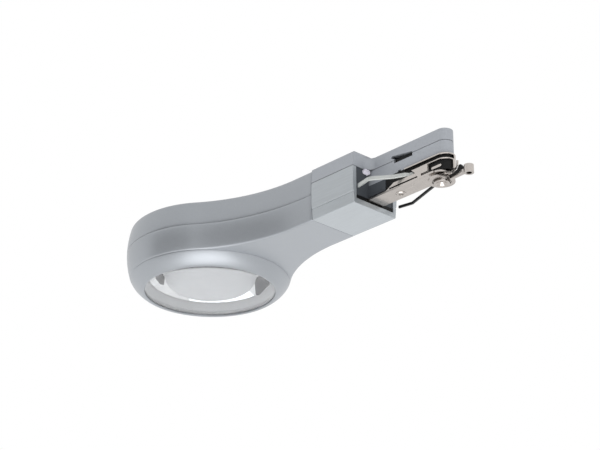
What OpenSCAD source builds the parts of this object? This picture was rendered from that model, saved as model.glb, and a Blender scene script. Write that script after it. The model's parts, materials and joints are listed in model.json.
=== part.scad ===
// Loupe-shaped spotlight head on a short neck, with a sprung adapter for a low-voltage lighting rail.
// Millimetres, +Z up. The light shines down. The origin is the middle of the adapter profile's end
// face, where the rail tongue starts; +X runs along the tongue and away from the head.

/* [Head and neck] */
// Radius of the round head at the parting line
head_r = 36.75; // [35:0.05:38]
// Distance from the neck's end to the middle of the head
head_gap = 77.4; // [74:0.1:84]
// Half width of the neck's underside
neck_half = 12; // [11.5:0.1:12.5]
// Radius of the hollow flare between neck and head
flare_r = 72; // [66:1:78]
// Height of the head and neck
shell_h = 22.4; // [21.5:0.1:23]
// Height of the parting line between the two shells
parting_z = 11.2; // [10:0.1:12]
// How far the side of the head swells at the parting line
head_bulge = 1.85; // [1:0.05:2.5]
// How far the side of the neck swells where it meets the adapter
neck_bulge = 0.6; // [0.3:0.05:1]
// Wall of the shells
shell_wall = 2.2; // [1.8:0.1:2.4]

/* [Light opening] */
// Radius of the round opening in the bezel
opening_r = 28.45; // [27.5:0.05:29]
// How far the bezel stands below the neck's underside
bezel_drop = 5.2; // [4.8:0.1:6]
// Radius of the lens
lens_r = 29.85; // [29.5:0.05:29.9]
// Thickness of the lens at its edge
lens_edge = 2.5; // [2:0.1:2.6]
// Radius of the satin diffuser at its back
diffuser_r = 20.4; // [19:0.1:21]

/* [Adapter profile] */
// Length of the adapter profile
prof_l = 24.1; // [23:0.1:26]
// Height of the adapter profile
prof_h = 22.8; // [22.4:0.1:23]
// Half width of the profile at its widest
prof_half = 12.6; // [12.4:0.05:12.8]
// Height of the seam under the top cap
seam_z = 16.5; // [16:0.1:17]

/* [Rail tongue] */
// Width of the tongue
tongue_w = 7; // [6.5:0.1:7.4]
// Length of the tongue from the end face
tongue_l = 41.6; // [40:0.1:43]
// Height of the tongue's top
tongue_top = 21.5; // [21:0.1:22]
// Height of the tongue's underside
tongue_under = 10.6; // [10.5:0.1:10.8]

/* [Latch and contacts] */
// Radius of the latch's disc
latch_disc_r = 5.4; // [5:0.1:5.6]
// Distance from the latch's pivot to its finger roll
latch_reach = 14; // [13:0.1:14.2]
// Radius of the pivot rivet's shank
pivot_r = 1.5; // [1.4:0.05:1.6]
// Running clearance round each pivot
running_gap = 0.05; // [0.03:0.01:0.08]
// Height of the side contact strips
strip_h = 1.6; // [1.4:0.1:1.65]
// Thickness of the side contact strips
strip_t = 0.8; // [0.6:0.1:1]

/* [Hidden] */
$fn = 64;
eps = 0.01;
cut = 1;             // how far a cutting shape runs past the face it cuts

// Head stack, heights from the neck's underside
ledge_z = -4.6;      // lens ledge in the bezel
gasket_h = 0.5;
lens_z = ledge_z + gasket_h;
lens_top = lens_z + lens_edge;
spigot_r = 32.4;     // bezel spigot inside the lower shell
spigot_top = 5;
bore_r = 30;         // inside of the bezel spigot
rim_flat_r = 29.7;   // outer edge of the bezel's flat rim
flank_bow = 0.55;    // how far the bezel's sloping side bows outwards
lens_step = 0.8;     // how far the lens's clear face stands into the opening
lens_dome = 0.25;
lens_gap = 0.12;
bezel_r = head_r - head_bulge - 0.1;
reflector_top = 8;
diffuser_t = 1.2;
ring_top = 3.2;      // top of the satin ring behind the lens, and its inner radius there
ring_top_r = 26.4;
web_turns = [63, 243];
web_t = 0.8;
web_side = [[20.35, 6.8], [26.2, 3.15], [22.2, lens_top], [20.6, lens_top], [19.95, 3.9]];
chamber_top = reflector_top + diffuser_t + 4;
board_t = 1.6;
led_board_r = 25;
pad_t = 0.5;
sink_z = chamber_top + board_t + pad_t;
sink_base = 2;
sink_r = 28;
sink_top = shell_h - shell_wall;
fin_count = 9;
fin_t = 1.4;
fin_pitch = 5;
led_count = 8;
led_ring_r = 11;
led_size = 3;
led_t = 0.8;
sink_screw_r = 24;
board_screw_r = 17.2;

// Screws: shank radius, head radius, head height
m3 = [1.45, 2.8, 1.6];
m2 = [0.95, 1.9, 1.2];
pilot_gap = 0.05;

// Shell bosses [x, y] and their radius
shell_bosses = [[-7, 8.2], [-7, -8.2], [-44, 14.5], [-44, -14.5]];
boss_r = 2.7;

// Driver board in the neck
pcb = [29, 17, 1.6];
pcb_x = -40;
pcb_z = 6;
pcb_posts = [[-14, -6], [-14, 6], [-37, -6], [-37, 6]];
pcb_screws = [[-14, -6], [-37, 6]];
pcb_post_r = 2;

// Joint between neck and adapter
neck_screw_y = 7;
neck_screw_z = 7.4;
neck_screw_l = 12;
lead_y = 2.6;
lead_z = 13;
lead_r = 0.9;
lead_hole_r = 1.1;

// Adapter profile
prof_foot_half = 11.8;   // half width at the underside
prof_top_half = 12.1;
prof_inner = 10.4;
prof_floor = 2.4;
groove_z = 4.8;
groove_d = 0.35;
insert_z = 4.2;
nose_z = 5;
liner_t = 0.5;       // black liner on the profile's floor
liner_edge = 1.6;    // height of its side strips
insert_gap = 0.1;
insert_x = 1;
step_end = 33;           // end of the insert's nose under the tongue
nose_top = tongue_under - 0.6;
tongue_y = 0.5;          // the tongue is half a millimetre off centre
tongue_tip_x = prof_l + tongue_l - tongue_w / 2;
root_fillet = 4;
seam_groove = 0.25;
window_x = 38;
window_l = 10;
window_z = 15.1;
window_d = 3.5;
window_cap_h = 0.5;      // how far the window reaches into the top cap
carrier_y = -2.2;        // face of the black carrier inside the window
stud_y = -6.3;
stud_z = 15.6;

// Bracket under the tongue
sheet = 0.8;
plate_z = 3;
plate_x = 8;
plate_y0 = -4.2;
plate_y1 = 4.3;
pivot_x = 60;
flange_t = 0.45;
flange_top = 6.05;
flange_side = [[33.6, 3], [53.4, 3], [53.4, flange_top - 0.4], [51.8, flange_top],
    [38.6, flange_top], [34.4, 3.9]];
panel_side = [[51.7, 4.75], [57, 4.75], [57, 7.9], [48.3, 7.9]];
slit = [36.2, 51.5, 3.75, 4.45];    // x from, x to, z from, z to
ear_r = 1.2;
pin_r = 0.55;
pin_head_r = 0.9;
pin_head_h = 0.5;
eye_r = 1.15;
front_rivet = [37.9, 0.7];
front_rivet_r = 1.2;
block_x1 = 43.8;         // end of the black block between tongue and plate
disc_r = 4.2;            // round end of the bracket plate
clip_x = 44;
clip_z = 4.6;
clip_h = 3.8;
clip_t = 0.6;
clip_gap = 0.1;
clip_rail = 0.5;         // height of the band above the clip's opening
clip_cage_x = 52.4;
clip_open_x = 57;
clip_link_y = 1.2;       // the nose joins the clip's top to its cage behind this line
screen_x = 57.15;        // start of the black wall inside the clip's open side
screen_t = 0.6;
screen_gap = 0.05;
leaf_x = [58.6, 62.8];   // middles of the terminal leaf's round ends
leaf_z = 5.5;
leaf_r = 0.55;
leaf_t = 0.25;
washer_r = 2;
latch_z = 0.4;
rivet_head_r = 3.2;
rivet_bore = [1, 3.6];   // radius and depth of the hollow rivet's bore
rivet_flare = 2.3;       // radius of its flared mouth
latch_groove = [3.4, 3.8, 0.3];     // groove round the rivet head: inner and outer radius, depth
rivet_head_z = -0.4;
shoulder_r = 1.6;
collar = [2.2, 7.6, 8.35];   // the rivet's collar under the clip: radius, z from, z to
roll_r = 1.95;
roll_bore = 1.1;
roll_drop = 0.9;         // how far the finger roll reaches below the lever
roll_h = 3.3;
roll_y = 0.3;            // the finger roll sits just off the latch's middle line
arm_plan = [[2, 0.4], [8.5, 0], [11.5, -1.2], [12.7, -1.4], [12.7, 1.7], [11, 1.4], [5, 1.6], [3, 3.2]];
notch_plan = [[3.7, 0.4], [8.5, 0], [11.5, -1.2], [11.5, -7], [1.9, -7], [2.4, -2.9]];
wall_t = 0.5;            // the lever's upturned edge
wall_y = 0.9;
wall_side = [[5.4, 0.5], [12.4, 0.5], [12.4, 2.6], [10.9, 2.6], [8, 1.5]];
pad_side = [[3.9, 0.85], [11.8, 0.85], [11.9, 1.7], [10.4, 3.9], [9.5, 3.9], [8.6, 2.3], [6.8, 1.5],
    [3.9, 1.2]];
pad_y = [-0.5, 0.8];

// Side contacts: pin place [x, y], height of the strip's lower edge, the strip's height, and its route
// from the eye to the free tip as [distance before the pin, distance outwards]
left_pin = [46.6, 1.9];
left_z = 6.4;
left_h = strip_h;
left_path = [[0, 0], [-1.6, 2.3], [-6.1, 4.5], [-8.6, 6.3], [-12.1, 9.1], [-14.2, 10.2], [-21, 8.8]];
right_pin = [53.4, 6];
right_z = 3.9;
right_h = strip_h - 0.5;
right_path = [[0, 0], [-20.6, 6.7], [-26.9, 5.6]];

// Return spring: one turn between lever and plate, then a leg that leaves it and rises at the nose
spring_r = 2.5;
spring_wire = 0.4;
spring_start = -420;
spring_z = 1.65;
spring_pitch = 0.85;
spring_leg = [[63.1, -1.1, 2.47], [64.9, -0.1, 2.5], [66.75, 0.4, 3.16], [67.9, 0.5, 3.76],
    [68.35, 0.5, 4.6], [68.5, 0.5, 5.6], [68.55, 0.5, 6.6]];

// ---------- shared shapes ----------

// The neck's end is at x = 0 and its underside at z = 0; seat() moves that to the part's origin.
module seat() translate([-prof_l, 0, -prof_h / 2]) children();

module at_head(z) translate([-head_gap, 0, z]) children();

// Plan outline of neck and head at the underside: straight neck, hollow flare, round head.
foot_r = head_r - head_bulge;
flare_x = -head_gap + sqrt(pow(foot_r + flare_r, 2) - pow(neck_half + flare_r, 2));
flare_a = atan2(neck_half + flare_r, flare_x + head_gap);

function half_outline() = concat(
    [for (i = [0:3]) [[flare_x * i / 4, neck_half], [0, 1]]],
    [for (i = [0:10]) let (a = -90 - (90 - flare_a) * i / 10)
        [[flare_x + flare_r * cos(a), neck_half + flare_r + flare_r * sin(a)], [-cos(a), -sin(a)]]],
    [for (i = [1:22]) let (a = flare_a + (180 - flare_a) * i / 22)
        [[-head_gap + foot_r * cos(a), foot_r * sin(a)], [cos(a), sin(a)]]]);

function flip_y(p) = [[p[0][0], -p[0][1]], [p[1][0], -p[1][1]]];

half = half_outline();
outline = concat(half, [for (i = [len(half) - 2:-1:0]) flip_y(half[i])]);

// The side swells from the underside to the parting line and draws in again to the top.
function swell(z) = z < parting_z
    ? 1 - pow((parting_z - z) / parting_z, 2)
    : 1 - 0.9 * pow((z - parting_z) / (shell_h - parting_z), 2);

function bulge(x) = let (t = min(1, -x / 30)) neck_bulge + (head_bulge - neck_bulge) * t * t * (3 - 2 * t);

function ring(z, inset) = [for (p = outline) let (d = bulge(p[0][0]) * swell(z) - inset)
    [p[0][0] + p[1][0] * d, p[0][1] + p[1][1] * d, z]];

// Solid between z0 and z1, drawn in by inset all round. The end faces are strips that run across
// from one side of the outline to its mirror point on the other.
module band(z0, z1, inset) {
    steps = 6;
    n = len(outline);
    points = [for (k = [0:steps]) each ring(z0 + (z1 - z0) * k / steps, inset)];
    sides = [for (k = [0:steps - 1]) for (i = [0:n - 1]) let (j = (i + 1) % n)
        each [[k * n + i, (k + 1) * n + i, k * n + j], [k * n + j, (k + 1) * n + i, (k + 1) * n + j]]];
    strips = [for (i = [0:(n - 1) / 2 - 1]) let (a = n - 1 - i)
        each i + 1 == a - 1 ? [[i, i + 1, a]] : [[i, i + 1, a - 1], [i, a - 1, a]]];
    roof = [for (t = strips) [for (i = [2:-1:0]) steps * n + t[i]]];
    polyhedron(points, concat(sides, strips, roof));
}

// Everything behind the wall that closes the neck's end.
module behind_end_wall() translate([-200 - shell_wall, -60, -20]) cube([200, 120, 80]);

module ring_wall(r_out, r_in, h) difference() {
    cylinder(r = r_out, h = h, $fn = 96);
    translate([0, 0, -cut]) cylinder(r = r_in, h = h + 2 * cut, $fn = 96);
}

// Countersunk screw pointing down, its flat top at z = 0.
module countersunk(size, l) difference() {
    union() {
        translate([0, 0, -l]) cylinder(r = size[0], h = l, $fn = 32);
        translate([0, 0, -size[2]]) cylinder(r1 = size[0], r2 = size[1], h = size[2], $fn = 32);
    }
    for (a = [0, 90]) rotate([0, 0, a])
        translate([-size[1] * 0.65, -0.3, -size[2] * 0.7]) cube([size[1] * 1.3, 0.6, size[2]]);
}

// Cheese-head screw pointing down, its head standing on z = 0.
module cheese(size, l) difference() {
    union() {
        translate([0, 0, -l]) cylinder(r = size[0], h = l + eps, $fn = 32);
        cylinder(r = size[1], h = size[2], $fn = 32);
    }
    translate([-size[1] - cut, -0.3, size[2] * 0.45]) cube([2 * size[1] + 2 * cut, 0.6, size[2]]);
}

// Round wire along a list of points, as one closed tube.
function unit(v) = v / norm(v);
function heading(p, i) = unit(p[min(i + 1, len(p) - 1)] - p[max(i - 1, 0)]);
function side_of(t) = abs(t[2]) < 0.9 ? unit(cross([0, 0, 1], t)) : unit(cross([0, 1, 0], t));
module wire(p, r, n = 8) {
    points = [for (i = [0:len(p) - 1]) let (t = heading(p, i), s = side_of(t), u = cross(t, s))
        each [for (k = [0:n - 1]) p[i] + r * (cos(360 * k / n) * s + sin(360 * k / n) * u)]];
    last = (len(p) - 1) * n;
    walls = [for (i = [0:len(p) - 2]) for (k = [0:n - 1]) let (a = i * n + k, b = i * n + (k + 1) % n)
        each [[a, a + n, b], [b, a + n, b + n]]];
    polyhedron(points, concat(walls, [[for (k = [0:n - 1]) k], [for (k = [n - 1:-1:0]) last + k]]));
}

// Extrude a section drawn in (y, z) along +X.
module along_x(l) rotate([90, 0, 90]) linear_extrude(l) children();

// Plan of the tongue, grown by g and starting at x0.
module tongue_plan(x0, g = 0) {
    r = tongue_w / 2 + g;
    translate([x0, tongue_y - r]) square([tongue_tip_x - x0, 2 * r]);
    translate([tongue_tip_x, tongue_y]) circle(r = r);
}

// ---------- head and neck ----------

module lower_shell() color([0.62, 0.65, 0.68]) seat() difference() {
    union() {
        difference() {
            band(0, parting_z, 0);
            intersection() {
                band(shell_wall, parting_z + cut, shell_wall);
                behind_end_wall();
            }
        }
        for (b = shell_bosses) translate([b[0], b[1], shell_wall - eps])
            cylinder(r = boss_r, h = parting_z - shell_wall + eps, $fn = 32);
        for (b = pcb_posts) translate([b[0], b[1], shell_wall - eps])
            cylinder(r = pcb_post_r, h = pcb_z - shell_wall + eps, $fn = 32);
    }
    at_head(-cut) cylinder(r = spigot_r, h = shell_wall + 2 * cut, $fn = 96);
    for (b = shell_bosses) translate([b[0], b[1], shell_wall])
        cylinder(r = m3[0] + pilot_gap, h = parting_z, $fn = 32);
    for (b = pcb_screws) translate([b[0], b[1], shell_wall])
        cylinder(r = m2[0] + pilot_gap, h = pcb_z, $fn = 32);
    for (s = [-1, 1]) translate([-shell_wall - cut, s * neck_screw_y, neck_screw_z])
        rotate([0, 90, 0]) cylinder(r = m3[0] + pilot_gap, h = shell_wall + 2 * cut, $fn = 32);
}

module upper_shell() color([0.6, 0.63, 0.66]) seat() difference() {
    union() {
        difference() {
            band(parting_z, shell_h, 0);
            intersection() {
                band(parting_z - cut, shell_h - shell_wall, shell_wall);
                behind_end_wall();
            }
        }
        for (b = shell_bosses) translate([b[0], b[1], parting_z])
            cylinder(r = boss_r, h = shell_h - shell_wall - parting_z + eps, $fn = 32);
        for (a = [60:120:300]) at_head(sink_z + sink_base) rotate([0, 0, a])
            translate([sink_screw_r, 0, 0])
            cylinder(r = boss_r, h = sink_top - sink_z - sink_base + eps, $fn = 32);
    }
    for (b = shell_bosses) translate([b[0], b[1], 0]) {
        cylinder(r = m3[0] + pilot_gap, h = shell_h + cut, $fn = 32);
        translate([0, 0, shell_h - m3[2]])
            cylinder(r1 = m3[0] + pilot_gap, r2 = m3[1] + pilot_gap, h = m3[2] + eps, $fn = 32);
    }
    for (a = [60:120:300]) at_head(0) rotate([0, 0, a]) translate([sink_screw_r, 0, 0])
        cylinder(r = m2[0] + pilot_gap, h = sink_top + shell_wall / 2, $fn = 32);
    for (s = [-1, 1]) translate([-shell_wall - cut, s * lead_y, lead_z])
        rotate([0, 90, 0]) cylinder(r = lead_hole_r, h = shell_wall + 2 * cut, $fn = 32);
}

module shell_screws() color([0.55, 0.56, 0.58]) seat()
    for (b = shell_bosses) translate([b[0], b[1], shell_h]) countersunk(m3, 18);

// The bezel's side slopes in to the rim along a shallow bow.
flank_l = norm([bezel_r - rim_flat_r, bezel_drop]);
function flank(t) = let (b = 4 * flank_bow * t * (1 - t))
    [bezel_r + (rim_flat_r - bezel_r) * t + b * bezel_drop / flank_l,
     -bezel_drop * t - b * (bezel_r - rim_flat_r) / flank_l];

module bezel_ring() color([0.72, 0.75, 0.78]) seat() at_head(0) rotate_extrude($fn = 128) polygon(concat(
    [for (i = [0:10]) flank(i / 10)],
    [[opening_r, -bezel_drop], [opening_r, ledge_z], [bore_r, ledge_z], [bore_r, spigot_top],
     [spigot_r, spigot_top], [spigot_r, 0]]));

module lens_gasket() color([0.1, 0.1, 0.1]) seat() at_head(ledge_z)
    ring_wall(bore_r - 0.05, opening_r + 0.05, gasket_h);

// Clear lens with a flange behind the ledge and a slightly domed face that fills the opening.
module lens() color([0.85, 0.9, 0.92]) seat() at_head(lens_z) {
    face_r = opening_r - lens_gap;
    sphere_r = (face_r * face_r + lens_dome * lens_dome) / (2 * lens_dome);
    sweep = asin(face_r / sphere_r);
    rotate_extrude($fn = 128) polygon(concat(
        [[0, lens_edge], [0, -lens_step - lens_dome]],
        [for (i = [1:12]) let (a = sweep * i / 12)
            [sphere_r * sin(a), sphere_r * (1 - cos(a)) - lens_step - lens_dome]],
        [[face_r, 0], [lens_r, 0], [lens_r, lens_edge]]));
}

// Satin ring between the lens and the reflector.
module lens_spacer() color([0.93, 0.93, 0.93]) seat() at_head(0) rotate_extrude($fn = 128) polygon([
    [opening_r - 0.2, lens_top], [lens_r, lens_top], [lens_r, ring_top], [ring_top_r, ring_top]]);

// Mirror cone from the satin ring up to the collar round the diffuser.
module reflector() color([0.9, 0.9, 0.92]) seat() at_head(0) rotate_extrude($fn = 96) polygon([
    [ring_top_r, ring_top], [lens_r, ring_top], [lens_r, ring_top + 0.8], [ring_top_r + 0.6, ring_top + 0.8],
    [diffuser_r + 1.2, reflector_top - 0.3], [diffuser_r + 1.2, reflector_top + diffuser_t],
    [diffuser_r + 0.1, reflector_top + diffuser_t], [diffuser_r + 0.1, reflector_top - 0.8]]);

// Two grey webs that stand on the lens between the diffuser and the satin ring.
module lens_webs() color([0.33, 0.34, 0.38]) seat() at_head(0) for (a = web_turns) rotate([0, 0, a])
    translate([0, web_t / 2, 0]) rotate([90, 0, 0]) linear_extrude(web_t) polygon(web_side);

// Satin plug that carries the light down to the lens, with a softly rounded nose.
function bend(a, b, c, t) = a * (1 - t) * (1 - t) + b * 2 * t * (1 - t) + c * t * t;
module diffuser() color([0.95, 0.95, 0.95]) seat() at_head(0) {
    low = lens_top + 0.05;
    rotate_extrude($fn = 96) polygon(concat(
        [[0, low]],
        [for (i = [0:12]) bend([diffuser_r - 9.5, low + 0.15], [diffuser_r - 1.2, low + 0.5],
            [diffuser_r - 0.6, low + 5.5], i / 12)],
        [[diffuser_r, reflector_top], [diffuser_r, reflector_top + diffuser_t],
         [0, reflector_top + diffuser_t]]));
}

module light_chamber() color([0.93, 0.93, 0.93]) seat() at_head(reflector_top + diffuser_t)
    ring_wall(diffuser_r + 1.2, diffuser_r - 0.6, chamber_top - reflector_top - diffuser_t);

module led_board() color([0.9, 0.92, 0.9]) seat() at_head(chamber_top) difference() {
    cylinder(r = led_board_r, h = board_t, $fn = 96);
    for (s = [-1, 1]) translate([s * board_screw_r, 0, -cut])
        cylinder(r = m2[0] + pilot_gap, h = board_t + 2 * cut, $fn = 32);
    for (a = [60:120:300]) rotate([0, 0, a]) translate([sink_screw_r, 0, -cut])
        cylinder(r = m2[1] + 0.3, h = board_t + 2 * cut, $fn = 32);
}

module leds() color([0.95, 0.85, 0.3]) seat() at_head(chamber_top - led_t)
    for (i = [0:led_count - 1]) rotate([0, 0, 360 * i / led_count + 22.5])
        translate([led_ring_r - led_size / 2, -led_size / 2, 0]) cube([led_size, led_size, led_t]);

module thermal_pad() color([0.55, 0.6, 0.7]) seat() at_head(chamber_top + board_t) difference() {
    cylinder(r = board_screw_r + 3, h = pad_t, $fn = 64);
    for (s = [-1, 1]) translate([s * board_screw_r, 0, -cut])
        cylinder(r = m2[0] + pilot_gap, h = pad_t + 2 * cut, $fn = 32);
}

module heat_sink() color([0.7, 0.72, 0.74]) seat() at_head(sink_z) difference() {
    union() {
        cylinder(r = sink_r, h = sink_base, $fn = 96);
        intersection() {
            cylinder(r = 20, h = sink_top - sink_z, $fn = 96);
            for (i = [0:fin_count - 1])
                translate([-30, (i - (fin_count - 1) / 2) * fin_pitch - fin_t / 2, sink_base - eps])
                cube([60, fin_t, sink_top - sink_z - sink_base - 0.4]);
        }
    }
    for (s = [-1, 1]) translate([s * board_screw_r, 0, -cut])
        cylinder(r = m2[0] + pilot_gap, h = sink_base + 1 + cut, $fn = 32);
    for (a = [60:120:300]) rotate([0, 0, a]) translate([sink_screw_r, 0, -cut])
        cylinder(r = m2[0] + pilot_gap, h = sink_base + 2 * cut, $fn = 32);
}

module heat_sink_screws() color([0.6, 0.6, 0.62]) seat() for (a = [60:120:300])
    at_head(sink_z) rotate([0, 0, a]) translate([sink_screw_r, 0, 0]) rotate([180, 0, 0])
    cheese(m2, 4);

module led_board_screws() color([0.6, 0.6, 0.62]) seat() for (s = [-1, 1])
    at_head(chamber_top) translate([s * board_screw_r, 0, 0]) rotate([180, 0, 0])
    cheese(m2, board_t + pad_t + 2);

// ---------- electronics in the neck ----------

module driver_board() color([0.1, 0.4, 0.2]) seat() difference() {
    translate([pcb_x, -pcb[1] / 2, pcb_z]) cube(pcb);
    for (b = pcb_screws) translate([b[0], b[1], pcb_z - cut])
        cylinder(r = m2[0] + pilot_gap, h = pcb[2] + 2 * cut, $fn = 32);
}

module driver_board_screws() color([0.6, 0.6, 0.62]) seat()
    for (b = pcb_screws) translate([b[0], b[1], pcb_z + pcb[2]]) cheese(m2, pcb[2] + 3);

module on_board(x, y) translate([x, y, pcb_z + pcb[2]]) children();

module capacitor() color([0.15, 0.2, 0.35]) seat() on_board(-30, -3.6) cylinder(r = 4, h = 9, $fn = 48);

module choke() color([0.3, 0.2, 0.12]) seat() on_board(-30, 5) {
    cylinder(r = 3, h = 1, $fn = 48);
    cylinder(r = 2.2, h = 5, $fn = 48);
    translate([0, 0, 4]) cylinder(r = 3, h = 1, $fn = 48);
}

module driver_chip() color([0.12, 0.12, 0.13]) seat() on_board(-22.5, -2.5) cube([5, 4, 1.6]);

module input_terminal() color([0.2, 0.45, 0.3]) seat() on_board(-17, -3.9) difference() {
    cube([4.6, 7.8, 7]);
    for (y = [1.3, 6.5]) translate([2, y, 5.4])
        rotate([0, 90, 0]) cylinder(r = lead_r + pilot_gap, h = 4, $fn = 24);
}

// Supply leads from the insert to the terminal block.
module supply_lead(s) wire([[-14.6, s * 2.6, lead_z], [-10, s * 2.6, lead_z], [18, s * lead_y, lead_z]],
    lead_r, 12);
module lead_live() color([0.7, 0.1, 0.08]) seat() supply_lead(1);
module lead_return() color([0.08, 0.08, 0.08]) seat() supply_lead(-1);

// Leads from the driver board up to the edge of the LED board.
module led_lead(s) wire([[-38.4, s * 3, pcb_z + pcb[2] + 0.25], [-38.8, s * 3, 9.2], [-41, s * 3, 11],
    [-45, s * 3, 12.1], [-50, s * 3, 12.6], [-54, s * 3, chamber_top - 0.6]], 0.6, 10);
module led_lead_plus() color([0.75, 0.1, 0.08]) seat() led_lead(1);
module led_lead_minus() color([0.1, 0.1, 0.1]) seat() led_lead(-1);

// ---------- adapter ----------

function groove(s) = [[s * (prof_half - 0.35), groove_z - 0.3], [s * (prof_half - 0.35 - groove_d), groove_z],
    [s * (prof_half - 0.2), groove_z + 0.3]];

module profile_housing() color([0.7, 0.72, 0.74]) seat() along_x(prof_l) polygon(concat(
    [[-prof_foot_half + 0.3, 0], [prof_foot_half - 0.3, 0], [prof_foot_half, 0.3]],
    groove(1),
    [[prof_half, 8], [prof_half, 14], [prof_half - 0.1, seam_z - 0.15], [prof_inner, seam_z - 0.15],
     [prof_inner, prof_floor], [-prof_inner, prof_floor], [-prof_inner, seam_z - 0.15],
     [-prof_half + 0.1, seam_z - 0.15], [-prof_half, 14], [-prof_half, 8]],
    [for (i = [2:-1:0]) groove(-1)[i]],
    [[-prof_foot_half, 0.3]]));

module root_fillets() for (s = [-1, 1]) translate([prof_l - eps, tongue_y + s * (tongue_w / 2 - eps), 0])
    mirror([0, s < 0 ? 1 : 0, 0]) difference() {
        square(root_fillet);
        translate([root_fillet, root_fillet]) circle(r = root_fillet);
    }

module top_cap() color([0.66, 0.69, 0.71]) seat() difference() {
    union() {
        along_x(prof_l) polygon([[-prof_half + 0.12, seam_z], [prof_half - 0.12, seam_z],
            [prof_top_half, prof_h - 0.5], [prof_top_half - 0.5, prof_h],
            [-prof_top_half + 0.5, prof_h], [-prof_top_half, prof_h - 0.5]]);
        translate([0, 0, seam_z]) linear_extrude(tongue_top - seam_z) {
            tongue_plan(prof_l - 1);
            root_fillets();
        }
    }
    translate([0, tongue_y - tongue_w / 2 + window_d, 0]) rotate([90, 0, 0])
        linear_extrude(window_d + cut) polygon([[window_x, seam_z - cut],
        [window_x + window_l, seam_z - cut], [window_x + window_l, seam_z + window_cap_h],
        [window_x - 1.2, seam_z + 2.1], [window_x - 1.6, seam_z + 1.2],
        [window_x, seam_z + window_cap_h]]);
    translate([front_rivet[0], front_rivet[1], seam_z - cut])
        cylinder(r = front_rivet_r, h = cut + 2, $fn = 32);
}

module insulating_insert() color([0.36, 0.38, 0.42]) seat() difference() {
    union() {
        translate([insert_x, -prof_inner + insert_gap, insert_z])
            cube([prof_l - insert_x - 0.4, 2 * (prof_inner - insert_gap), seam_z - insert_z]);
        translate([prof_l - cut, tongue_y - tongue_w / 2, nose_z])
            cube([step_end - prof_l + cut, tongue_w, nose_top - nose_z]);
    }
    for (s = [-1, 1]) {
        translate([0, s * lead_y, lead_z]) rotate([0, 90, 0])
            cylinder(r = lead_r + pilot_gap, h = 18.5, $fn = 32);
        translate([0, s * neck_screw_y, neck_screw_z]) rotate([0, 90, 0])
            cylinder(r = m3[0] + pilot_gap, h = neck_screw_l, $fn = 32);
    }
    translate([prof_l - 2, stud_y, stud_z - 1.1]) cube([4, 2.6, 2.2]);
    translate([prof_l - 0.5, tongue_y - tongue_w / 2 - eps, nose_top])
        cube([10, tongue_w + 2 * eps, seam_z - nose_top + eps]);
}

module tongue_base() color([0.68, 0.7, 0.74]) seat() difference() {
    union() {
        translate([0, 0, tongue_under]) linear_extrude(seam_z - tongue_under - seam_groove)
            tongue_plan(prof_l - 0.4);
        translate([0, 0, seam_z - 2 * seam_groove]) linear_extrude(2 * seam_groove)
            tongue_plan(prof_l - 0.4, -seam_groove);
        translate([prof_l - 0.4, tongue_y - tongue_w / 2, nose_top])
            cube([9.2, tongue_w, tongue_under - nose_top + eps]);
    }
    translate([window_x, tongue_y - tongue_w / 2 - cut, window_z])
        cube([window_l, window_d + cut, seam_z - window_z + cut]);
    translate([40, tongue_y - tongue_w / 2 - cut, tongue_under - cut]) cube([1.6, 2, cut + 0.6]);
    translate([front_rivet[0], front_rivet[1], tongue_under - cut])
        cylinder(r = front_rivet_r, h = 8, $fn = 32);
    translate([pivot_x, tongue_y, tongue_under - cut]) cylinder(r = pivot_r, h = cut + 3.2, $fn = 32);
}

// Black carrier of the live rail, seen through the window in the tongue's side.
module pole_carrier() color([0.05, 0.05, 0.06]) seat()
    translate([window_x + 0.1, carrier_y, window_z])
    cube([window_l - 0.2, front_rivet[1] - front_rivet_r - carrier_y - 0.1,
        seam_z + window_cap_h - window_z - 0.1]);

module neck_screws() color([0.6, 0.6, 0.62]) seat() for (s = [-1, 1])
    translate([-shell_wall, s * neck_screw_y, neck_screw_z]) rotate([0, -90, 0])
    cheese([m3[0], 2.4, 1.6], neck_screw_l);

module locating_stud() color([0.88, 0.87, 0.93]) seat() {
    translate([prof_l - 1.9, stud_y + 0.1, stud_z - 1.1]) cube([2.3, 2.4, 1.9]);
    translate([prof_l - 0.4, stud_y + 0.5, stud_z - 0.1]) rotate([0, 90, 0])
        cylinder(r = 0.8, h = 1.4, $fn = 32);
    translate([prof_l - 0.4, stud_y + 2, stud_z - 0.2]) rotate([0, 90, 0])
        cylinder(r = 1, h = 1.2, $fn = 32);
}

// ---------- bracket, clip and latch ----------

module plate_plan() {
    translate([plate_x, plate_y0]) square([pivot_x - plate_x, plate_y1 - plate_y0]);
    translate([pivot_x, tongue_y]) circle(r = disc_r);
}

// Upright side of the bracket, from an outline in x and z.
module upright(y, side) translate([0, y + flange_t, 0]) rotate([90, 0, 0])
    linear_extrude(flange_t) polygon(side);

module bracket() color([0.8, 0.78, 0.76]) seat() {
    translate([0, 0, plate_z]) linear_extrude(sheet) difference() {
        union() {
            plate_plan();
            translate(right_pin) circle(r = ear_r);
            translate([right_pin[0] - ear_r, 0]) square([2 * ear_r, right_pin[1]]);
        }
        translate(front_rivet) circle(r = front_rivet_r);
        translate([pivot_x, tongue_y]) circle(r = pivot_r);
        translate([left_pin[0], -left_pin[1]]) circle(r = pin_r);
        translate(right_pin) circle(r = pin_r);
    }
    for (y = [plate_y0, plate_y1 - flange_t]) difference() {
        upright(y, flange_side);
        translate([slit[0], y - cut, slit[2]])
            cube([slit[1] - slit[0], flange_t + 2 * cut, slit[3] - slit[2]]);
        if (y > 0) translate([clip_cage_x - 0.4, y - cut, plate_z + sheet])
            cube([5, flange_t + 2 * cut, 10]);
    }
    upright(plate_y0, panel_side);
}

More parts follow.
